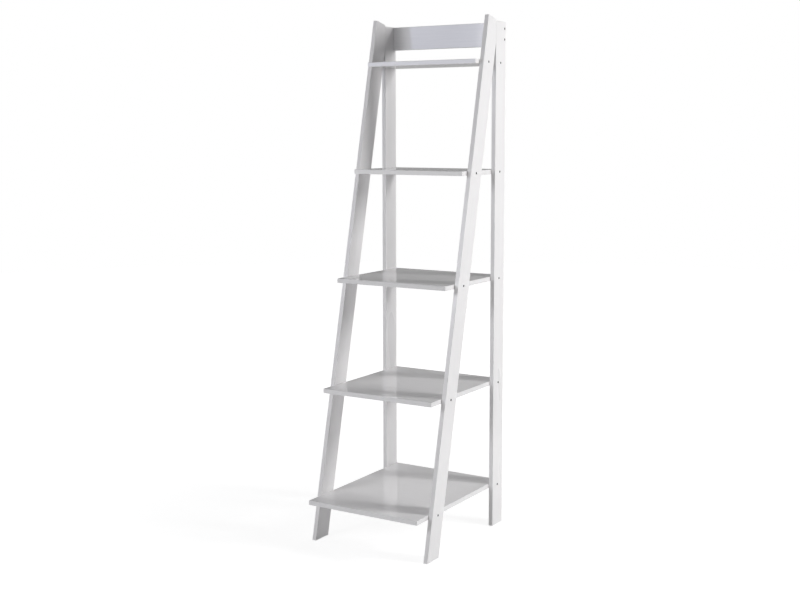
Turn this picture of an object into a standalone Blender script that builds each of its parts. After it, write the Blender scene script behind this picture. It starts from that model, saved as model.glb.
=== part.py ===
"""Ladder bookcase: five shelves and a back rail screwed between two A-shaped side frames.

Each frame is a raked front leg and an upright rear leg, dowelled together along a short upright seam
at the top. Units are metres. +Z is up, +X is to the right seen from the front, and the front faces -Y.
The origin is on the floor, in the middle of the overall width and depth.
"""

import math

import bmesh
import bpy

# Side frames
INNER_WIDTH = 0.440  # between the inner faces of the two frames
LEG_THICKNESS = 0.016
REAR_LEG_DEPTH = 0.073
REAR_LEG_HEIGHT = 1.812
FRONT_LEG_WIDTH = 0.074  # square to the leg's own length
FRONT_LEG_RAKE = 12.72  # degrees from upright
SEAM_LENGTH = 0.082  # height over which a front leg is cut upright to meet its rear leg
SEAM_STEP = 0.005  # how far the front leg stands above the rear leg at the seam

# Shelves, the highest first
SHELF_THICKNESS = 0.016
SHELF_OVERHANGS = (0.030, 0.035, 0.062, 0.068, 0.076)  # ahead of the front legs
TOP_SHELF_DROP = 0.135  # from the tops of the rear legs down to the highest shelf
BOTTOM_SHELF_HEIGHT = 0.157  # from the floor up to the lowest shelf's top

# Back rail
RAIL_HEIGHT = 0.083
RAIL_THICKNESS = 0.016
RAIL_DROP = 0.001  # below the tops of the rear legs
RAIL_SCREW_SPACING = 0.037

# Socket screws, sunk just below the outer faces of the legs
SCREW_SINK = 0.0005
SCREW_HEAD_DIAMETER = 0.008
SCREW_HEAD_HEIGHT = 0.004
SCREW_DIAMETER = 0.005
SCREW_GRIP = 0.040  # length held in the shelf or the rail
SCREW_POINT = 0.004
SOCKET_WIDTH = 0.004  # across the flats of the hexagon
SOCKET_DEPTH = 0.0025

# Dowels across the seams
DOWEL_DIAMETER = 0.008
DOWEL_LENGTH = 0.040
DOWEL_SPACING = 0.036
DOWEL_CHAMFER = 0.001

# Fits and finish
CLEARANCE = 0.0003  # between pieces that meet
EDGE_EASING = 0.0015
ROUND_SIDES = 18  # a multiple of six, so that the sockets' corners fall on it

# Places that follow from the sizes above
RAKE = math.radians(FRONT_LEG_RAKE)
LEG_X = (INNER_WIDTH + LEG_THICKNESS) / 2
OUTER_X = INNER_WIDTH / 2 + LEG_THICKNESS
BOARD_LENGTH = INNER_WIDTH - 2 * CLEARANCE
SEAM_TOP = REAR_LEG_HEIGHT + SEAM_STEP
SEAM_BOTTOM = SEAM_TOP - SEAM_LENGTH
TOP_REACH = (FRONT_LEG_WIDTH - SEAM_LENGTH * math.sin(RAKE)) * math.cos(RAKE)
TOP_Z = SEAM_TOP + TOP_REACH * math.tan(RAKE)


def leg_front(z):
    """Distance behind the seam of the front leg's front edge at a height: negative is ahead of it."""
    return -TOP_REACH - (TOP_Z - z) * math.tan(RAKE)


def leg_back(z):
    """The same for the front leg's back edge, below the seam."""
    return -(SEAM_BOTTOM - z) * math.tan(RAKE)


def leg_middle(z):
    return (leg_front(z) + leg_back(z)) / 2


SHELF_TOPS = []
for number in range(len(SHELF_OVERHANGS)):
    step = (REAR_LEG_HEIGHT - TOP_SHELF_DROP - BOTTOM_SHELF_HEIGHT) / (len(SHELF_OVERHANGS) - 1)
    SHELF_TOPS.append(REAR_LEG_HEIGHT - TOP_SHELF_DROP - number * step)

SHELF_DEPTHS = []
for top, overhang in zip(SHELF_TOPS, SHELF_OVERHANGS):
    SHELF_DEPTHS.append(REAR_LEG_DEPTH + CLEARANCE - leg_front(top) + overhang)

FOOT_DEPTH = REAR_LEG_DEPTH + CLEARANCE - leg_front(0)
BACK_Y = max(SHELF_DEPTHS + [FOOT_DEPTH]) / 2
REAR_LEG_Y = BACK_Y - REAR_LEG_DEPTH
SEAM_Y = REAR_LEG_Y - CLEARANCE


def finish(name, color, roughness, metallic):
    material = bpy.data.materials.new(name)
    material.use_nodes = True
    shader = material.node_tree.nodes["Principled BSDF"]
    shader.inputs["Base Color"].default_value = (*color, 1)
    shader.inputs["Roughness"].default_value = roughness
    shader.inputs["Metallic"].default_value = metallic
    return material


def place(name, mesh, material, location, turn=0):
    """A piece of the bookcase at a location, turned about the upright axis."""
    piece = bpy.data.objects.new(name, mesh)
    bpy.context.scene.collection.objects.link(piece)
    if not mesh.materials:
        mesh.materials.append(material)
    piece.location = location
    piece.rotation_euler = (0, 0, turn)
    piece.parent = bookcase
    return piece


def board(name, outline, length, location, levels=()):
    """A board with an outline in the YZ plane, centred on its length in X, with eased edges.

    Its long faces are divided at the given levels, so that each screw hole lies in a face of its own.
    """
    shape = bmesh.new()
    end = shape.faces.new([shape.verts.new((-length / 2, y, z)) for y, z in outline])
    grown = bmesh.ops.extrude_face_region(shape, geom=[end])["geom"]
    far_end = [part for part in grown if isinstance(part, bmesh.types.BMVert)]
    bmesh.ops.translate(shape, verts=far_end, vec=(length, 0, 0))
    for level in levels:
        whole = shape.verts[:] + shape.edges[:] + shape.faces[:]
        bmesh.ops.bisect_plane(shape, geom=whole, plane_co=(0, 0, level), plane_no=(0, 0, 1))
    bmesh.ops.recalc_face_normals(shape, faces=shape.faces)
    mesh = bpy.data.meshes.new(name)
    shape.to_mesh(mesh)
    shape.free()
    piece = place(name, mesh, white_paint, location)
    easing = piece.modifiers.new("eased_edges", "BEVEL")
    easing.width = EDGE_EASING
    easing.segments = 2
    easing.limit_method = "ANGLE"
    return piece


def ring(shape, x, radius, hexagonal):
    """Points round the X axis, on a circle or on a hexagon of that half width across its flats."""
    if radius == 0:
        return [shape.verts.new((x, 0, 0))]
    points = []
    for number in range(ROUND_SIDES):
        angle = 2 * math.pi * number / ROUND_SIDES
        from_flat = angle % (math.pi / 3) - math.pi / 6
        reach = radius / math.cos(from_flat) if hexagonal else radius
        points.append(shape.verts.new((x, reach * math.cos(angle), reach * math.sin(angle))))
    return points


def turned(name, profile):
    """A turned solid about X, from (x, radius, hexagonal) points that start and end on the axis."""
    shape = bmesh.new()
    rings = [ring(shape, *point) for point in profile]
    for first, second in zip(rings, rings[1:]):
        for number in range(ROUND_SIDES):
            after = (number + 1) % ROUND_SIDES
            corners = [first[number % len(first)], first[after % len(first)]]
            corners += [second[after % len(second)], second[number % len(second)]]
            shape.faces.new(list(dict.fromkeys(corners)))
    bmesh.ops.recalc_face_normals(shape, faces=shape.faces)
    mesh = bpy.data.meshes.new(name)
    shape.to_mesh(mesh)
    shape.free()
    mesh.shade_smooth()
    mesh.set_sharp_from_angle(angle=math.radians(35))
    return mesh


def drill(name, cutter_mesh, location, turn, boards):
    """A hole cut through the boards that one fastener joins."""
    cutter = place(name, cutter_mesh, white_paint, location, turn)
    cutter.hide_render = True
    cutter.display_type = "WIRE"
    for piece in boards:
        cut = piece.modifiers.new(name, "BOOLEAN")
        cut.operation = "DIFFERENCE"
        cut.solver = "EXACT"
        cut.object = cutter


def screw(name, side, y, z, boards):
    """A screw driven inward through a leg at a height, in its own stepped hole."""
    location = (side * OUTER_X, y, z)
    turn = 0 if side > 0 else math.pi
    drill("hole_for_" + name, screw_hole_mesh, location, turn, boards)
    place(name, screw_mesh, dark_steel, location, turn)


for leftover in list(bpy.data.objects):
    bpy.data.objects.remove(leftover)

white_paint = finish("white_paint", (0.86, 0.86, 0.88), 0.15, 0)
dark_steel = finish("dark_steel", (0.07, 0.07, 0.075), 0.4, 1)
beech = finish("beech", (0.62, 0.44, 0.27), 0.6, 0)

bookcase = bpy.data.objects.new("ladder_bookcase", None)
bpy.context.scene.collection.objects.link(bookcase)

# The screws lie along X, with zero at the leg's outer face and the point inward.
head_top = -SCREW_SINK
head_seat = head_top - SCREW_HEAD_HEIGHT
socket_floor = head_top - SOCKET_DEPTH
point = -LEG_THICKNESS - SCREW_GRIP
head_radius = SCREW_HEAD_DIAMETER / 2
shank_radius = SCREW_DIAMETER / 2
screw_mesh = turned(
    "socket_screw",
    [
        (socket_floor, 0, False),
        (socket_floor, SOCKET_WIDTH / 2, True),
        (head_top, SOCKET_WIDTH / 2, True),
        (head_top, head_radius, False),
        (head_seat, head_radius, False),
        (head_seat, shank_radius, False),
        (point + SCREW_POINT, shank_radius, False),
        (point, 0, False),
    ],
)
screw_hole_mesh = turned(
    "screw_hole",
    [
        (LEG_THICKNESS, 0, False),
        (LEG_THICKNESS, head_radius + CLEARANCE, False),
        (head_seat - CLEARANCE, head_radius + CLEARANCE, False),
        (head_seat - CLEARANCE, shank_radius + CLEARANCE, False),
        (point + SCREW_POINT - CLEARANCE, shank_radius + CLEARANCE, False),
        (point - 2 * CLEARANCE, 0, False),
    ],
)

# The dowels lie half in each leg, with chamfered ends.
dowel_radius = DOWEL_DIAMETER / 2
dowel_end = DOWEL_LENGTH / 2
dowel_mesh = turned(
    "dowel",
    [
        (-dowel_end, 0, False),
        (-dowel_end, dowel_radius - DOWEL_CHAMFER, False),
        (-dowel_end + DOWEL_CHAMFER, dowel_radius, False),
        (dowel_end - DOWEL_CHAMFER, dowel_radius, False),
        (dowel_end, dowel_radius - DOWEL_CHAMFER, False),
        (dowel_end, 0, False),
    ],
)
dowel_hole_mesh = turned(
    "dowel_hole",
    [
        (-dowel_end - CLEARANCE, 0, False),
        (-dowel_end - CLEARANCE, dowel_radius + CLEARANCE, False),
        (dowel_end + CLEARANCE, dowel_radius + CLEARANCE, False),
        (dowel_end + CLEARANCE, 0, False),
    ],
)

# A rear leg is a plain upright. A front leg is cut square to its length at the top, upright along the
# seam and level at the floor.
rear_outline = [(0, 0), (REAR_LEG_DEPTH, 0), (REAR_LEG_DEPTH, REAR_LEG_HEIGHT), (0, REAR_LEG_HEIGHT)]
front_outline = [
    (leg_front(0), 0),
    (leg_back(0), 0),
    (0, SEAM_BOTTOM),
    (0, SEAM_TOP),
    (-TOP_REACH, TOP_Z),
]

# Levels between neighbouring holes, from the floor up.
seam_middle = (SEAM_BOTTOM + REAR_LEG_HEIGHT) / 2
rail_middle = REAR_LEG_HEIGHT - RAIL_DROP - RAIL_HEIGHT / 2
shelf_middles = [top - SHELF_THICKNESS / 2 for top in SHELF_TOPS]
leg_levels = [(upper + lower) / 2 for upper, lower in zip(shelf_middles, shelf_middles[1:])]
leg_levels.append((shelf_middles[0] + SEAM_BOTTOM) / 2)

SIDES = {"left": -1, "right": 1}
front_legs = {}
rear_legs = {}
for side_name, side in SIDES.items():
    rear_legs[side_name] = board(
        side_name + "_rear_leg",
        rear_outline,
        LEG_THICKNESS,
        (side * LEG_X, REAR_LEG_Y, 0),
        leg_levels + [rail_middle],
    )
    front_legs[side_name] = board(
        side_name + "_front_leg",
        front_outline,
        LEG_THICKNESS,
        (side * LEG_X, SEAM_Y, 0),
        leg_levels,
    )
    for level, offset in (("lower", -DOWEL_SPACING / 2), ("upper", DOWEL_SPACING / 2)):
        dowel_name = side_name + "_dowel_" + level
        dowel_place = (side * LEG_X, SEAM_Y + CLEARANCE / 2, seam_middle + offset)
        joined = [front_legs[side_name], rear_legs[side_name]]
        drill("hole_for_" + dowel_name, dowel_hole_mesh, dowel_place, math.pi / 2, joined)
        place(dowel_name, dowel_mesh, beech, dowel_place, math.pi / 2)

# The shelves end at the backs of the rear legs and project ahead of the front legs.
for number, (top, depth) in enumerate(zip(SHELF_TOPS, SHELF_DEPTHS), start=1):
    shelf_name = "shelf_" + str(number)
    outline = [(-depth, -SHELF_THICKNESS), (0, -SHELF_THICKNESS), (0, 0), (-depth, 0)]
    shelf = board(shelf_name, outline, BOARD_LENGTH, (0, BACK_Y, top))
    middle = shelf_middles[number - 1]
    for side_name, side in SIDES.items():
        start = "screw_" + shelf_name + "_" + side_name
        front_y = SEAM_Y + leg_middle(middle)
        rear_y = REAR_LEG_Y + REAR_LEG_DEPTH / 2
        screw(start + "_front", side, front_y, middle, [front_legs[side_name], shelf])
        screw(start + "_rear", side, rear_y, middle, [rear_legs[side_name], shelf])

# The rail lies between the rear legs, level with their backs.
rail_outline = [(-RAIL_THICKNESS, -RAIL_HEIGHT), (0, -RAIL_HEIGHT), (0, 0), (-RAIL_THICKNESS, 0)]
rail = board("top_back_rail", rail_outline, BOARD_LENGTH, (0, BACK_Y, REAR_LEG_HEIGHT - RAIL_DROP))
for side_name, side in SIDES.items():
    for level, offset in (("lower", -RAIL_SCREW_SPACING / 2), ("upper", RAIL_SCREW_SPACING / 2)):
        screw(
            "screw_rail_" + side_name + "_" + level,
            side,
            BACK_Y - RAIL_THICKNESS / 2,
            rail_middle + offset,
            [rear_legs[side_name], rail],
        )
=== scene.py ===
# %% [markdown]
# # A ladder bookcase in gloss white paint
#
# The real bookcase is plain joinery: five flat shelves and a rail, screwed between two A-shaped side
# frames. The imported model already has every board, screw and dowel at its real size. This lesson
# models each board and screw again with finer edges, paints them, and lights them in a white studio.
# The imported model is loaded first, and its box is kept, because the finer pieces have to fill the
# same space.

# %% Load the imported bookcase
import math

import bpy
from mathutils import Matrix, Vector


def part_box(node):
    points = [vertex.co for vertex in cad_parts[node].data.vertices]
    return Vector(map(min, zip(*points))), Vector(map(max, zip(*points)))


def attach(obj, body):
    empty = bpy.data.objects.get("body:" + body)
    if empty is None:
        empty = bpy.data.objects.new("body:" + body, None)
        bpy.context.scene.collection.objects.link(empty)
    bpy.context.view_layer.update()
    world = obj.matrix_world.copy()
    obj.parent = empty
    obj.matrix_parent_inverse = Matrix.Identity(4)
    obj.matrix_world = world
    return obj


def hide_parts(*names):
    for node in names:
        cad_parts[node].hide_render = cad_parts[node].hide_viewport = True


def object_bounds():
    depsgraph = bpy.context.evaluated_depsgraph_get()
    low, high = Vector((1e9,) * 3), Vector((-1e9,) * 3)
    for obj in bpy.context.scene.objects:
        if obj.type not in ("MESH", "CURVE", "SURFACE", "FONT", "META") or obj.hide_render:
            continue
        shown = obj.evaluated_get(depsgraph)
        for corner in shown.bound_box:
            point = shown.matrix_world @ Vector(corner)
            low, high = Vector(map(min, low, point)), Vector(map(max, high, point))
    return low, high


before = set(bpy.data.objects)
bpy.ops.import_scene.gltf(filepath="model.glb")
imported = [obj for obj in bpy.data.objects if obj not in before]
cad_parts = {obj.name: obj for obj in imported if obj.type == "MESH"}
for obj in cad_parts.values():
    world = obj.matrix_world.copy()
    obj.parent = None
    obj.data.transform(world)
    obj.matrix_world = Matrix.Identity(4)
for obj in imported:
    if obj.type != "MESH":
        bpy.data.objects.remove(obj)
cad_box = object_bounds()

print("nodes:", len(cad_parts))
print("overall size:", [round(side, 4) for side in cad_box[1] - cad_box[0]])

# %% [markdown]
# ## The pieces by kind
#
# Boards that run the same way are made and painted the same way, so their names are gathered first.
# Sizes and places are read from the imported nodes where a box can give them. Those that a box can't
# give, such as the rake of the front legs, are written in the cells that use them. Everything is in
# metres.

# %% Gather the names
SHELVES = ["shelf_1", "shelf_2", "shelf_3", "shelf_4", "shelf_5"]
UPRIGHTS = ["left_rear_leg", "right_rear_leg"]
RAKED = ["left_front_leg", "right_front_leg"]
SCREWS = sorted(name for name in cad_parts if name.startswith("screw_"))
DOWELS = sorted(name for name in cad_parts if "_dowel_" in name)
print("shelves:", len(SHELVES), "legs:", len(UPRIGHTS + RAKED))
print("screws:", len(SCREWS), "dowels:", len(DOWELS))

# %% [markdown]
# ## A board, as sawn
#
# Every piece of this bookcase starts as a straight board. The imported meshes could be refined, but
# they are loose triangles with coarse edges, so each board is built anew. A cube of one metre is
# added at the board's middle and scaled to its size, and the scale is applied at once, because a
# bevel on a scaled object would come out stretched. Everything is deselected first, so that the
# operators touch only the new board.


# %% Add the straight boards
def sawn_board(name, size, middle, lean=0.0):
    """A straight board of a size, leaning back by an angle about its middle."""
    bpy.ops.object.select_all(action="DESELECT")
    bpy.ops.mesh.primitive_cube_add(size=1, location=middle)
    piece = bpy.context.object
    piece.name = name
    piece.scale = size
    piece.rotation_euler = (-lean, 0, 0)
    bpy.ops.object.transform_apply(location=True, rotation=True, scale=True)
    return piece


boards = {}
for node in SHELVES + ["top_back_rail"] + UPRIGHTS:
    low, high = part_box(node)
    boards[node] = sawn_board(node + "_board", high - low, (low + high) / 2)
    print(node, [round(side, 4) for side in boards[node].dimensions])

# %% [markdown]
# ## The front legs are cut from a leaning board
#
# A front leg is a straight board that leans back, with its top end left square. Two saw cuts finish
# it: a level cut at the floor and an upright cut where it meets the rear leg. The outline could be
# drawn point by point and extruded, but Bisect does what the saw does: it cuts the mesh with a
# plane, throws away one side and closes the cut with a face.


# %% Saw the front legs
def pick(piece):
    """Make a piece the only selected one and the active one."""
    bpy.ops.object.select_all(action="DESELECT")
    piece.select_set(True)
    bpy.context.view_layer.objects.active = piece


def saw(piece, point, away):
    """Cut a piece with a plane through a point and drop the side that the plane's normal faces."""
    pick(piece)
    bpy.ops.object.mode_set(mode="EDIT")
    bpy.ops.mesh.select_all(action="SELECT")
    bpy.ops.mesh.bisect(plane_co=point, plane_no=away, use_fill=True, clear_outer=True)
    bpy.ops.object.mode_set(mode="OBJECT")


RAKE = math.radians(12.72)
FRONT_LEG_WIDTH = 0.074
SEAM_TOP = 1.817
SEAM_LENGTH = 0.082
SPARE_LENGTH = 0.1  # sawn off at the floor

along = Vector((0, math.sin(RAKE), math.cos(RAKE)))
across = Vector((0, math.cos(RAKE), -math.sin(RAKE)))
seam_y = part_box("right_front_leg")[1].y
top_reach = (FRONT_LEG_WIDTH - SEAM_LENGTH * math.sin(RAKE)) * math.cos(RAKE)
top_corner = Vector((0, seam_y - top_reach, SEAM_TOP + top_reach * math.tan(RAKE)))
raw_length = top_corner.z / math.cos(RAKE) + SPARE_LENGTH

for node in RAKED:
    low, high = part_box(node)
    middle = top_corner + across * FRONT_LEG_WIDTH / 2 - along * raw_length / 2
    middle.x = (low.x + high.x) / 2
    size = (high.x - low.x, FRONT_LEG_WIDTH, raw_length)
    boards[node] = sawn_board(node + "_board", size, middle, lean=RAKE)
    saw(boards[node], (0, 0, 0), (0, 0, -1))
    saw(boards[node], (0, seam_y, 0), (0, 1, 0))
    print(node, "faces after the saw:", len(boards[node].data.polygons))

# %% [markdown]
# ## Eased edges
#
# Painted boards are sanded round before they are painted, and the round edge is what catches the
# light along every outline. A Bevel node in the paint could fake it, but the mesh itself would stay
# sharp, so the edges get a real bevel. The shallow corner below the seam isn't an edge that anyone
# sands, so edges are picked by their angle.

# %% Round the edges over
EASED_EDGE = 0.0015
SANDED_ANGLE = math.radians(30)

for piece in boards.values():
    pick(piece)
    bpy.ops.object.mode_set(mode="EDIT")
    bpy.ops.mesh.select_mode(type="EDGE")
    bpy.ops.mesh.select_all(action="DESELECT")
    bpy.ops.mesh.edges_select_sharp(sharpness=SANDED_ANGLE)
    bpy.ops.mesh.bevel(offset=EASED_EDGE, segments=4, affect="EDGES", clamp_overlap=True)
    bpy.ops.object.mode_set(mode="OBJECT")
print("faces of an eased shelf:", len(boards["shelf_1"].data.polygons))

# %% [markdown]
# ## Screw holes
#
# Each screw sits in a stepped hole: a wide mouth for the head and a narrow bore for the shank. A dark
# disc on the leg would look alike from afar, but only a real hole has the fine dark line round the
# head. The drill bit is a cylinder whose lower end is inset and pushed down, so one cut makes both
# steps. A Boolean takes it out of the leg and out of the board behind it, and is applied at once.


# %% Helpers for round pieces
STRAIGHT = 0.9  # least share of a normal along the axis, on the end of a round piece


def select_end(piece, facing):
    """Select the end of an upright piece that faces up (1) or down (-1), in edit mode."""
    bpy.ops.object.mode_set(mode="EDIT")
    bpy.ops.mesh.select_mode(type="FACE")
    bpy.ops.mesh.select_all(action="DESELECT")
    bpy.ops.object.mode_set(mode="OBJECT")
    for face in piece.data.polygons:
        face.select = face.normal.z * facing > STRAIGHT
    bpy.ops.object.mode_set(mode="EDIT")


def push_down(distance):
    """Extrude what is selected downward."""
    bpy.ops.mesh.extrude_region_move(TRANSFORM_OT_translate={"value": (0, 0, -distance)})


def lay_along_x(piece, place):
    """Turn an upright piece so that its top faces outward at a place, and apply turn and place."""
    pick(piece)
    piece.rotation_euler = (0, math.copysign(math.pi / 2, place.x), 0)
    piece.location = place
    bpy.ops.object.transform_apply(location=True, rotation=True, scale=True)


def cut_hole(piece, bit):
    pick(piece)
    cut = piece.modifiers.new("hole", "BOOLEAN")
    cut.operation = "DIFFERENCE"
    cut.solver = "EXACT"
    cut.object = bit
    bpy.ops.object.modifier_apply(modifier=cut.name)


def screw_ends(node):
    """The middle of a packed screw's head and the tip of its point."""
    low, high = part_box(node)
    middle = (low + high) / 2
    outer, inner = (high.x, low.x) if low.x > 0 else (low.x, high.x)
    return Vector((outer, middle.y, middle.z)), Vector((inner, middle.y, middle.z))


print("a screw's head and point:", screw_ends("screw_shelf_1_right_front"))

# %% Drill the stepped holes
HOLE_RADIUS = 0.0043
SHANK_HOLE_RADIUS = 0.0028
HOLE_SEAT = 0.0048  # from the leg's outer face to the step
HOLE_SIDES = 40
BIT_ABOVE = 0.004  # the bit starts this far outside the leg
BIT_PAST_POINT = 0.0005
outer_x = cad_box[1].x


def drill_bit(screw):
    """A stepped bit on a screw's own axis, from outside the leg to past the screw's point."""
    head, point = screw_ends(screw)
    start = outer_x + BIT_ABOVE
    seat = outer_x - HOLE_SEAT
    end = abs(point.x) - BIT_PAST_POINT
    bpy.ops.object.select_all(action="DESELECT")
    bpy.ops.mesh.primitive_cylinder_add(vertices=HOLE_SIDES, radius=HOLE_RADIUS, depth=start - seat)
    bit = bpy.context.object
    select_end(bit, -1)
    bpy.ops.mesh.inset(thickness=HOLE_RADIUS - SHANK_HOLE_RADIUS)
    push_down(seat - end)
    bpy.ops.object.mode_set(mode="OBJECT")
    lay_along_x(bit, Vector((math.copysign((start + seat) / 2, head.x), head.y, head.z)))
    return bit


def boards_of(screw):
    """The leg that a screw goes through and the board that it holds."""
    side = "left" if "_left_" in screw else "right"
    leg = side + ("_front_leg" if screw.endswith("_front") else "_rear_leg")
    held = "top_back_rail" if "_rail_" in screw else "shelf_" + screw.split("_")[2]
    return boards[leg], boards[held]


for screw in SCREWS:
    bit = drill_bit(screw)
    for piece in boards_of(screw):
        cut_hole(piece, bit)
    bpy.data.objects.remove(bit)
print("faces of a drilled rear leg:", len(boards["right_rear_leg"].data.polygons))

# %% [markdown]
# ## Dowel holes
#
# Two dowels cross each seam between a front and a rear leg. Nobody sees them, but without holes they
# would share the space of the wood. A plain bit, a little larger than the dowel all round, is cut
# out of both legs, as a drill across the closed seam would do.

# %% Drill the dowel holes
DOWEL_ROOM = 0.0003

for dowel in DOWELS:
    low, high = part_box(dowel)
    size = high - low
    bpy.ops.object.select_all(action="DESELECT")
    bpy.ops.mesh.primitive_cylinder_add(
        vertices=HOLE_SIDES, radius=size.x / 2 + DOWEL_ROOM, depth=size.y + 2 * DOWEL_ROOM,
        location=(low + high) / 2, rotation=(math.pi / 2, 0, 0),
    )
    bit = bpy.context.object
    side = "left" if dowel.startswith("left") else "right"
    for leg in (side + "_front_leg", side + "_rear_leg"):
        cut_hole(boards[leg], bit)
    bpy.data.objects.remove(bit)
    print(dowel, "hole radius:", round(size.x / 2 + DOWEL_ROOM, 4))

# %% [markdown]
# ## Smooth edges, flat faces
#
# Smooth shading rounds the bevels, but on its own it would also bend the light across the wide flat
# faces. The Weighted Normal modifier lets the large faces win, so the boards stay flat and only the
# edges look round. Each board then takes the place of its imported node.

# %% Shade the boards and put them in place of the nodes
for node, piece in boards.items():
    pick(piece)
    bpy.ops.object.shade_smooth_by_angle(angle=math.radians(40))
    weigh = piece.modifiers.new("flat_faces", "WEIGHTED_NORMAL")
    weigh.keep_sharp = True
    bpy.ops.object.modifier_apply(modifier=weigh.name)
    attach(piece, "root")
    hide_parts(node)
print("boards:", len(boards))

# %% [markdown]
# ## A socket screw
#
# One screw is modelled upright and copied. The head is a short cylinder with a chamfered rim. The
# shank is extruded from the underside and drawn in to a point. A turned profile would give the same
# round body, but the hexagon socket isn't round, so it is cut out of the head with a six-sided key.

# %% Model the head and the shank
HEAD_RADIUS = 0.004
HEAD_HEIGHT = 0.004
HEAD_CHAMFER = 0.0005
SHANK_RADIUS = 0.0025
POINT_LENGTH = 0.004
TIP_SHARE = 0.04  # of the shank's width, left at the tip
head, point = screw_ends("screw_shelf_1_right_front")
shank_length = head.x - point.x - HEAD_HEIGHT

bpy.ops.object.select_all(action="DESELECT")
bpy.ops.mesh.primitive_cylinder_add(
    vertices=48, radius=HEAD_RADIUS, depth=HEAD_HEIGHT, location=(0, 0, -HEAD_HEIGHT / 2)
)
screw_model = bpy.context.object
screw_model.name = "socket_screw_model"
bpy.ops.object.transform_apply(location=True, rotation=True, scale=True)

select_end(screw_model, 1)
bpy.ops.mesh.bevel(offset=HEAD_CHAMFER, segments=2, affect="EDGES")
bpy.ops.object.mode_set(mode="OBJECT")
select_end(screw_model, -1)
bpy.ops.mesh.inset(thickness=HEAD_RADIUS - SHANK_RADIUS)
push_down(shank_length - POINT_LENGTH)
push_down(POINT_LENGTH)
bpy.ops.transform.resize(value=(TIP_SHARE, TIP_SHARE, 1))
bpy.ops.object.mode_set(mode="OBJECT")
print("screw length:", round(screw_model.dimensions.z, 4))

# %% Cut the socket
SOCKET_WIDTH = 0.004  # across the flats
SOCKET_DEPTH = 0.0025

bpy.ops.object.select_all(action="DESELECT")
bpy.ops.mesh.primitive_cylinder_add(
    vertices=6, radius=SOCKET_WIDTH / 2 / math.cos(math.pi / 6), depth=2 * SOCKET_DEPTH
)
key = bpy.context.object
cut_hole(screw_model, key)
bpy.data.objects.remove(key)
pick(screw_model)
bpy.ops.object.shade_smooth_by_angle(angle=math.radians(35))
print("faces of a screw:", len(screw_model.data.polygons))

# %% [markdown]
# ## Copies of the screw
#
# Each copy gets its own mesh, is turned to lie along X with its head outward, and has that turn and
# place applied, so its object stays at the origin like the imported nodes.

# %% Drive the screws
screws = {}
for node in SCREWS:
    piece = screw_model.copy()
    piece.data = screw_model.data.copy()
    piece.name = node + "_steel"
    bpy.context.scene.collection.objects.link(piece)
    lay_along_x(piece, screw_ends(node)[0])
    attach(piece, "root")
    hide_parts(node)
    screws[node] = piece
bpy.data.objects.remove(screw_model)
print("screws driven:", len(screws))

# %% [markdown]
# ## Paint over wood
#
# The paint is a gloss white. Under it the wood's grain still shows as faint long ridges, and the
# sprayed coat has a fine ripple that softens what it mirrors. A picture of wood would need a map on
# every board and would repeat, so both come from noise. They are used on boards that run upright,
# raked and across, so they are built once as a node group. It takes the pattern's coordinates,
# already turned so that X runs along the grain, and gives a colour, a roughness and a height.

# %% Name the group's sockets
TAKES = {
    "Vector": "NodeSocketVector",
    "Light Color": "NodeSocketColor",
    "Dark Color": "NodeSocketColor",
    "Roughness Low": "NodeSocketFloat",
    "Roughness High": "NodeSocketFloat",
}
GIVES = {"Color": "NodeSocketColor", "Roughness": "NodeSocketFloat", "Height": "NodeSocketFloat"}

grain = bpy.data.node_groups.new("paint_over_grain", "ShaderNodeTree")
for name, kind in TAKES.items():
    grain.interface.new_socket(name=name, in_out="INPUT", socket_type=kind)
for name, kind in GIVES.items():
    grain.interface.new_socket(name=name, in_out="OUTPUT", socket_type=kind)
entry = grain.nodes.new("NodeGroupInput")
leave = grain.nodes.new("NodeGroupOutput")
print("group sockets:", [item.name for item in grain.interface.items_tree])


# %% Three patterns of noise
def link(tree, source, target):
    tree.links.new(source, target)


def noise(tree, vector, stretch, scale, detail):
    """A noise pattern, squeezed by a factor along each axis."""
    mapping = tree.nodes.new("ShaderNodeMapping")
    mapping.inputs["Scale"].default_value = stretch
    pattern = tree.nodes.new("ShaderNodeTexNoise")
    pattern.inputs["Scale"].default_value = scale
    pattern.inputs["Detail"].default_value = detail
    link(tree, vector, mapping.inputs["Vector"])
    link(tree, mapping.outputs["Vector"], pattern.inputs["Vector"])
    return pattern.outputs["Fac"]


fibres = noise(grain, entry.outputs["Vector"], stretch=(1, 26, 26), scale=9, detail=5)
clouds = noise(grain, entry.outputs["Vector"], stretch=(1, 3, 3), scale=2.2, detail=2)
ripple = noise(grain, entry.outputs["Vector"], stretch=(1, 1, 1), scale=420, detail=1)
print("nodes for the patterns:", len(grain.nodes))

# %% From the patterns to colour, roughness and height
MIX_FIRST, MIX_SECOND, MIX_RESULT = 6, 7, 2  # the colour sockets of a Mix node
RIPPLE_SHARE = 0.25  # of the height, next to the grain's ridges


def remap(tree, value, given=(0, 1), wanted=(0, 1)):
    """A Map Range node that takes a value from one range to another."""
    node = tree.nodes.new("ShaderNodeMapRange")
    node.inputs["From Min"].default_value, node.inputs["From Max"].default_value = given
    node.inputs["To Min"].default_value, node.inputs["To Max"].default_value = wanted
    link(tree, value, node.inputs["Value"])
    return node


def combine(tree, operation, first, second):
    """A Math node that takes two linked values."""
    node = tree.nodes.new("ShaderNodeMath")
    node.operation = operation
    link(tree, first, node.inputs[0])
    link(tree, second, node.inputs[1])
    return node.outputs["Value"]


def color_mix(tree, factor):
    """A Mix node for colours."""
    node = tree.nodes.new("ShaderNodeMix")
    node.data_type = "RGBA"
    link(tree, factor, node.inputs["Factor"])
    return node


ridges = remap(grain, fibres, given=(0.35, 0.7)).outputs["Result"]

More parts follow.
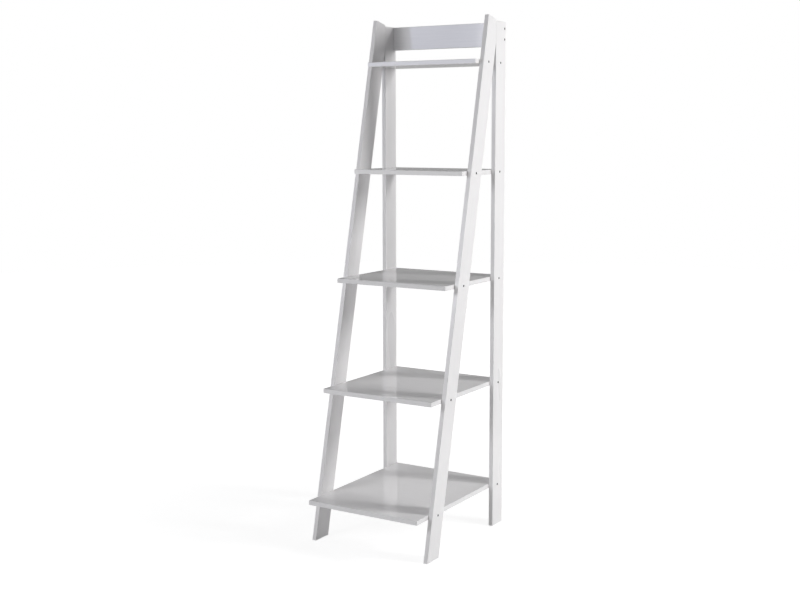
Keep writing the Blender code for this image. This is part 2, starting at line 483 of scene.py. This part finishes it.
tint = color_mix(grain, combine(grain, "MULTIPLY", ridges, clouds))
link(grain, entry.outputs["Light Color"], tint.inputs[MIX_FIRST])
link(grain, entry.outputs["Dark Color"], tint.inputs[MIX_SECOND])
link(grain, tint.outputs[MIX_RESULT], leave.inputs["Color"])

gloss = remap(grain, clouds)
link(grain, entry.outputs["Roughness Low"], gloss.inputs["To Min"])
link(grain, entry.outputs["Roughness High"], gloss.inputs["To Max"])
link(grain, gloss.outputs["Result"], leave.inputs["Roughness"])

relief = grain.nodes.new("ShaderNodeMath")
relief.operation = "MULTIPLY_ADD"
relief.inputs[1].default_value = RIPPLE_SHARE
link(grain, ripple, relief.inputs[0])
link(grain, ridges, relief.inputs[2])
link(grain, relief.outputs["Value"], leave.inputs["Height"])
print("nodes in the group:", len(grain.nodes))

# %% [markdown]
# ## One paint on four kinds of board
#
# Grain runs along a board, so the same group is placed in four materials whose Mapping nodes turn
# the pattern across, upright or along the rake. The shine differs too: the shelves are a clear gloss
# that mirrors the legs, the rail is a little softer, with a faint blue painted into its white as a
# painted reflection that adds to the bluish lamp it mirrors, and the legs are satin. The bare dowels
# use the group as well, with a beech colour and no gloss.


# %% Paint for the shelves
RIDGE_HEIGHT = 0.0004
ALONG_X = (0, 0, 0)
WHITE = (0.875, 0.865, 0.87), (0.83, 0.82, 0.825)  # light and dark


def finish(name, turn, colors, rough, ridge):
    """A finish whose grain lies along X before the turn, from a light to a dark colour."""
    made = bpy.data.materials.new(name)
    made.use_nodes = True
    tree = made.node_tree
    shader = tree.nodes["Principled BSDF"]
    place = tree.nodes.new("ShaderNodeTexCoord")
    mapping = tree.nodes.new("ShaderNodeMapping")
    mapping.inputs["Rotation"].default_value = turn
    pattern = tree.nodes.new("ShaderNodeGroup")
    pattern.node_tree = grain
    pattern.inputs["Light Color"].default_value = (*colors[0], 1)
    pattern.inputs["Dark Color"].default_value = (*colors[1], 1)
    pattern.inputs["Roughness Low"].default_value = rough[0]
    pattern.inputs["Roughness High"].default_value = rough[1]
    bump = tree.nodes.new("ShaderNodeBump")
    bump.inputs["Strength"].default_value = ridge
    bump.inputs["Distance"].default_value = RIDGE_HEIGHT
    link(tree, place.outputs["Object"], mapping.inputs["Vector"])
    link(tree, mapping.outputs["Vector"], pattern.inputs["Vector"])
    link(tree, pattern.outputs["Color"], shader.inputs["Base Color"])
    link(tree, pattern.outputs["Roughness"], shader.inputs["Roughness"])
    link(tree, pattern.outputs["Height"], bump.inputs["Height"])
    link(tree, bump.outputs["Normal"], shader.inputs["Normal"])
    print("finish:", name)
    return made


paint_shelf = finish("white_paint_shelf", ALONG_X, WHITE, rough=(0.006, 0.016), ridge=0.003)

# %% The other finishes
# The rail's white paint with a faint blue painted in: a painted reflection of the bluish lamp.
WHITE_WITH_PAINTED_BLUE_SHEEN = (0.872, 0.87, 0.89), (0.82, 0.82, 0.845)
BEECH = (0.62, 0.44, 0.27), (0.45, 0.29, 0.16)
SATIN = 0.24, 0.34
ALONG_Y = (0, 0, math.pi / 2)
UPRIGHT = (0, math.pi / 2, 0)
ALONG_RAKE = (RAKE, math.pi / 2, 0)

# The rail's finish carries the painted blue reflection in its colour.
paint_rail = finish("white_paint_rail", ALONG_X, WHITE_WITH_PAINTED_BLUE_SHEEN, rough=(0.05, 0.10), ridge=0.2)
paint_upright = finish("white_paint_upright", UPRIGHT, WHITE, rough=SATIN, ridge=0.05)
paint_raked = finish("white_paint_raked", ALONG_RAKE, WHITE, rough=SATIN, ridge=0.05)
bare_beech = finish("bare_beech", ALONG_Y, BEECH, rough=(0.5, 0.7), ridge=0.5)

# %% [markdown]
# ## Dark steel
#
# The screw heads are dark and satin, with fine turning marks. A noise squeezed across the head
# shifts the colour and the roughness a little, so the metal isn't one flat value.

# %% Make the steel
dark_steel = bpy.data.materials.new("dark_steel_satin")
dark_steel.use_nodes = True
steel_tree = dark_steel.node_tree
steel_shader = steel_tree.nodes["Principled BSDF"]
steel_shader.inputs["Metallic"].default_value = 1
steel_place = steel_tree.nodes.new("ShaderNodeTexCoord")
marks = noise(steel_tree, steel_place.outputs["Object"], stretch=(1, 4, 4), scale=900, detail=3)
steel_color = color_mix(steel_tree, marks)
steel_color.inputs[MIX_FIRST].default_value = (0.02, 0.02, 0.022, 1)
steel_color.inputs[MIX_SECOND].default_value = (0.045, 0.045, 0.048, 1)
steel_rough = remap(steel_tree, marks, wanted=(0.34, 0.5))
link(steel_tree, steel_color.outputs[MIX_RESULT], steel_shader.inputs["Base Color"])
link(steel_tree, steel_rough.outputs["Result"], steel_shader.inputs["Roughness"])
print("finish:", dark_steel.name)

# %% [markdown]
# ## Dress the pieces
#
# Every new piece takes one finish for its whole mesh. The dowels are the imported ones, so their own
# slots get the beech.


# %% Put the finishes on
def dress(piece, material):
    piece.data.materials.clear()
    piece.data.materials.append(material)


for node in SHELVES:
    dress(boards[node], paint_shelf)
dress(boards["top_back_rail"], paint_rail)
for node in UPRIGHTS:
    dress(boards[node], paint_upright)
for node in RAKED:
    dress(boards[node], paint_raked)
for piece in screws.values():
    dress(piece, dark_steel)
for node in DOWELS:
    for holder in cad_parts[node].material_slots:
        holder.material = bare_beech
print("dressed:", len(boards) + len(screws) + len(DOWELS))

# %% [markdown]
# ## White studio
#
# The bookcase stands on a white floor in a white room. The camera, and anything glossy, should see
# plain white there, while the light that reaches the paint stays at a normal level. A Light Path
# node tells the two apart. Seen directly, the floor glows a little less near the bookcase and adds a
# thin diffuse part there, so the soft shadow of the bookcase stays on it, and farther out it is the
# same white as the room.


# %% Make the room
def seen_directly(tree):
    """One for rays that the camera, a mirror or glass sends, and zero for light on its way."""
    path = tree.nodes.new("ShaderNodeLightPath").outputs
    camera_or_mirror = combine(tree, "MAXIMUM", path["Is Camera Ray"], path["Is Glossy Ray"])
    return combine(tree, "MAXIMUM", camera_or_mirror, path["Is Transmission Ray"])


ROOM_GLOW = 0.08, 1.0  # for light on its way, and seen directly

room = bpy.data.worlds.new("white_room")
bpy.context.scene.world = room
room.use_nodes = True
room_tree = room.node_tree
room_light = room_tree.nodes["Background"]
room_light.inputs["Color"].default_value = (1, 1, 1, 1)
room_level = remap(room_tree, seen_directly(room_tree), wanted=ROOM_GLOW)
link(room_tree, room_level.outputs["Result"], room_light.inputs["Strength"])
print("room:", room.name)


# %% Lay the floor
def stage_paint(name):
    """A material for the studio, without its usual shader."""
    made = bpy.data.materials.new(name)
    made.use_nodes = True
    made.node_tree.nodes.remove(made.node_tree.nodes["Principled BSDF"])
    return made


FLOOR_RADIUS = 9
FLOOR_FADE = 0.7, 2.6  # distances from the middle between which the floor turns to full white
FLOOR_GLOW = 0.84, 1.0  # glow near the bookcase and far from it
FLOOR_GREY = (0.8, 0.8, 0.8, 1)
SHADOW_GREY = (0.3, 0.3, 0.3, 1)

bpy.ops.object.select_all(action="DESELECT")
bpy.ops.mesh.primitive_circle_add(vertices=64, radius=FLOOR_RADIUS, fill_type="NGON")
floor = bpy.context.object
floor.name = "studio_floor"
floor_paint = stage_paint("studio_white")
floor.data.materials.append(floor_paint)
floor_tree = floor_paint.node_tree

floor_place = floor_tree.nodes.new("ShaderNodeTexCoord")
floor_reach = floor_tree.nodes.new("ShaderNodeVectorMath")
floor_reach.operation = "LENGTH"
link(floor_tree, floor_place.outputs["Object"], floor_reach.inputs[0])
floor_level = remap(floor_tree, floor_reach.outputs["Value"], FLOOR_FADE, FLOOR_GLOW)
floor_glow = floor_tree.nodes.new("ShaderNodeEmission")
link(floor_tree, floor_level.outputs["Result"], floor_glow.inputs["Strength"])

floor_plain = floor_tree.nodes.new("ShaderNodeBsdfDiffuse")
floor_plain.inputs["Color"].default_value = FLOOR_GREY
floor_shadow = floor_tree.nodes.new("ShaderNodeBsdfDiffuse")
floor_shadow.inputs["Color"].default_value = SHADOW_GREY
floor_seen = floor_tree.nodes.new("ShaderNodeAddShader")
link(floor_tree, floor_shadow.outputs["BSDF"], floor_seen.inputs[0])
link(floor_tree, floor_glow.outputs["Emission"], floor_seen.inputs[1])
floor_mix = floor_tree.nodes.new("ShaderNodeMixShader")
link(floor_tree, seen_directly(floor_tree), floor_mix.inputs["Fac"])
link(floor_tree, floor_plain.outputs["BSDF"], floor_mix.inputs[1])
link(floor_tree, floor_seen.outputs["Shader"], floor_mix.inputs[2])
link(floor_tree, floor_mix.outputs["Shader"], floor_tree.nodes["Material Output"].inputs["Surface"])
print("floor:", round(floor.dimensions.x, 2), "across")

# %% [markdown]
# ## A grey card behind
#
# Gloss paint mirrors what stands behind it. In an all-white room the shelf tops would wash out, and
# the legs would mirror darker than the room. A photographer stands a grey card behind the object,
# out of the picture, so that the tops stay a calm grey and the mirrored legs show on them as lighter
# bands. It is lighter toward its top, which only the upper shelves mirror. The card is hidden from
# the camera and from the lamps, and only mirrored rays meet it.

# %% Stand up the grey card
CARD_WIDTH = 3.6
CARD_HEIGHT = 2.4
CARD_PLACE = (-0.2, 1.5, CARD_HEIGHT / 2)
CARD_FADE = 1.1, 1.6  # heights between which the card turns lighter
CARD_TONE = 0.27, 0.42

bpy.ops.object.select_all(action="DESELECT")
bpy.ops.mesh.primitive_plane_add(size=1, location=CARD_PLACE, rotation=(math.pi / 2, 0, 0))
card = bpy.context.object
card.name = "grey_card"
card.scale = (CARD_WIDTH, CARD_HEIGHT, 1)
bpy.ops.object.transform_apply(location=True, rotation=True, scale=True)
card.visible_camera = False
card.visible_diffuse = False
card.visible_transmission = False
card.visible_shadow = False

card_grey = stage_paint("card_grey")
card.data.materials.append(card_grey)
card_tree = card_grey.node_tree
card_place = card_tree.nodes.new("ShaderNodeTexCoord")
card_axes = card_tree.nodes.new("ShaderNodeSeparateXYZ")
link(card_tree, card_place.outputs["Object"], card_axes.inputs["Vector"])
card_level = remap(card_tree, card_axes.outputs["Z"], CARD_FADE, CARD_TONE)
card_tone = card_tree.nodes.new("ShaderNodeEmission")
link(card_tree, card_level.outputs["Result"], card_tone.inputs["Strength"])
link(card_tree, card_tone.outputs["Emission"], card_tree.nodes["Material Output"].inputs["Surface"])
print("card:", [round(side, 2) for side in card.dimensions])

# %% [markdown]
# ## Light from the right
#
# The outer faces of the right legs are the brightest. The shelf ends and the right legs throw shadows
# straight to the left, and the left legs are dark just below each shelf, so the main light comes from
# the right, a little behind and above. A tall panel below it softens the floor end. These two are
# kept out of mirrored rays, so that the leg faces don't clip to white when seen from the right. Each
# panel is placed by its turn round the bookcase, counted in degrees from the front toward the right.


# %% Hang the lamps on the right
def panel(name, turn, distance, height, aim_height, width, tall, power, tint=(1, 1, 1), mirrored=True):
    """A rectangular lamp that looks at the bookcase's middle line at a height."""
    lamp = bpy.data.lights.new(name, "AREA")
    lamp.shape = "RECTANGLE"
    lamp.size = width
    lamp.size_y = tall
    lamp.energy = power
    lamp.color = tint
    holder = bpy.data.objects.new(name, lamp)
    bpy.context.scene.collection.objects.link(holder)
    angle = math.radians(turn)
    place = Vector((math.sin(angle) * distance, -math.cos(angle) * distance, height))
    holder.location = place
    holder.rotation_euler = (Vector((0, 0, aim_height)) - place).to_track_quat("-Z", "Y").to_euler()
    holder.visible_glossy = mirrored
    print(name, "at", [round(side, 2) for side in place])


panel("key_panel", turn=108, distance=3.3, height=2.2, aim_height=0.9,
      width=0.4, tall=1.1, power=54, mirrored=False)
panel("side_panel", turn=96, distance=2.6, height=1.15, aim_height=1.15,
      width=0.4, tall=1.8, power=20, mirrored=False)

# %% [markdown]
# ## Light from the front and on the far sides
#
# A wide panel in front and one at the left front light the shelf edges and the rail, and leave the
# left end of the rail in shadow. A bluish panel and a weak lower one are what the rail and the shelf
# edges mirror. Panels at the left and the back keep the far sides readable.

# %% Hang the other lamps
panel("front_panel", turn=0, distance=4.2, height=1.75, aim_height=0.9,
      width=1.5, tall=1.5, power=21)
panel("left_front_panel", turn=-20, distance=4.0, height=2.2, aim_height=1.0,
      width=0.9, tall=0.9, power=36)
panel("mirrored_panel", turn=-30, distance=4.0, height=2.05, aim_height=1.7,
      width=1.1, tall=0.7, power=8, tint=(0.72, 0.76, 1.0))
panel("lower_mirrored_panel", turn=-30, distance=4.0, height=1.15, aim_height=1.2,
      width=1.1, tall=0.5, power=2.5)
panel("left_panel", turn=-90, distance=4.23, height=2.44, aim_height=0.9,
      width=1.8, tall=1.8, power=30)
panel("back_panel", turn=180, distance=4.23, height=2.44, aim_height=0.9,
      width=2.5, tall=1.8, power=35)

# %% [markdown]
# ## The camera
#
# The photograph looks at the bookcase from its right front corner, from eye height. The place, turn
# and lens were worked out from where the corners of the boards fall in the picture. The vertical
# shift is kept small, because every other view keeps it too and would lose the top of the legs.

# %% Set the camera
FRAME_WIDTH = 800  # pixels
FRAME_HEIGHT = 600
LENS_ROW = 288  # the lens looks straight at this row of the frame
FOCAL_PIXELS = 1231.59
SENSOR_WIDTH = 36  # millimetres
EYE = (2.24374, -3.65725, 1.44)
TURN = 0.555069  # radians toward the left, from looking straight at the front
TILT = 0.128482  # downward
ROLL = -0.0019768

camera_data = bpy.data.cameras.new("photo_camera")
camera_data.sensor_width = SENSOR_WIDTH
camera_data.lens = FOCAL_PIXELS * SENSOR_WIDTH / FRAME_WIDTH
camera_data.shift_y = (LENS_ROW - FRAME_HEIGHT / 2) / FRAME_WIDTH
camera = bpy.data.objects.new("photo_camera", camera_data)
bpy.context.scene.collection.objects.link(camera)
camera.location = EYE
aimed = Matrix.Rotation(TURN, 3, "Z") @ Matrix.Rotation(math.pi / 2 - TILT, 3, "X")
camera.rotation_euler = (aimed @ Matrix.Rotation(ROLL, 3, "Z")).to_euler()
bpy.context.scene.camera = camera
bpy.context.scene.view_settings.view_transform = "Standard"
print("lens:", round(camera_data.lens, 2), "mm")
